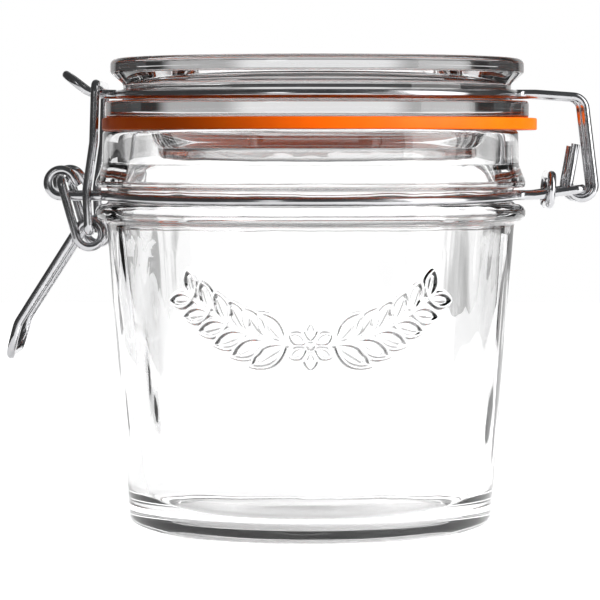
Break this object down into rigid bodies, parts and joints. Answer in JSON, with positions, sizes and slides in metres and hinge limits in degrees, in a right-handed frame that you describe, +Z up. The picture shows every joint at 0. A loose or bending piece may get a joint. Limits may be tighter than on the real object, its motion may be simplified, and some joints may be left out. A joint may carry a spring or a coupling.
{
  "type": "clip-top preserving jar",
  "caption": "Small round glass preserving jar with a wire-clamped glass lid and an orange rubber seal, empty and shut.",
  "frame": {"origin": "centre of the jar's base, on the plane of the ring that it stands on", "axes": "+Z up along the jar's axis, +X towards the lid's hinge, the clasp at -X"},
  "size_m": [0.1284, 0.095, 0.1024],
  "materials": {
    "clear_glass": "clear, fire-polished",
    "orange_rubber": "satin, slightly translucent",
    "bright_wire": "bright drawn wire"
  },
  "bodies": {
    "jar": {"jar_glass": "clear_glass", "neck_wire": "bright_wire", "hinge_collar": "bright_wire"},
    "lid": {"lid_glass": "clear_glass", "seal_ring": "orange_rubber", "lid_wire": "bright_wire"},
    "lever": {"lever_wire": "bright_wire"},
    "link": {"clip_link": "bright_wire"}
  },
  "joints": [
    {"name": "lid_hinge", "type": "hinge", "parent": "jar", "child": "lid", "pos_m": [0.05875, 0, 0.07425], "axis": [0, 1, 0], "range_deg": [0, 200]},
    {"name": "lever_pivot", "type": "hinge", "parent": "jar", "child": "lever", "pos_m": [-0.05367, 0, 0.07615], "axis": [0, 1, 0], "range_deg": [0, 100], "deforming": ["clip_link"]},
    {"name": "link_swing", "type": "hinge", "parent": "lever", "child": "link", "pos_m": [-0.04755, 0, 0.06505], "axis": [0, 1, 0], "range_deg": [-120, 0]}
  ],
  "couplings": [
    {"joint": "link_swing", "follows": "lever_pivot", "ratio": -1.2}
  ]
}
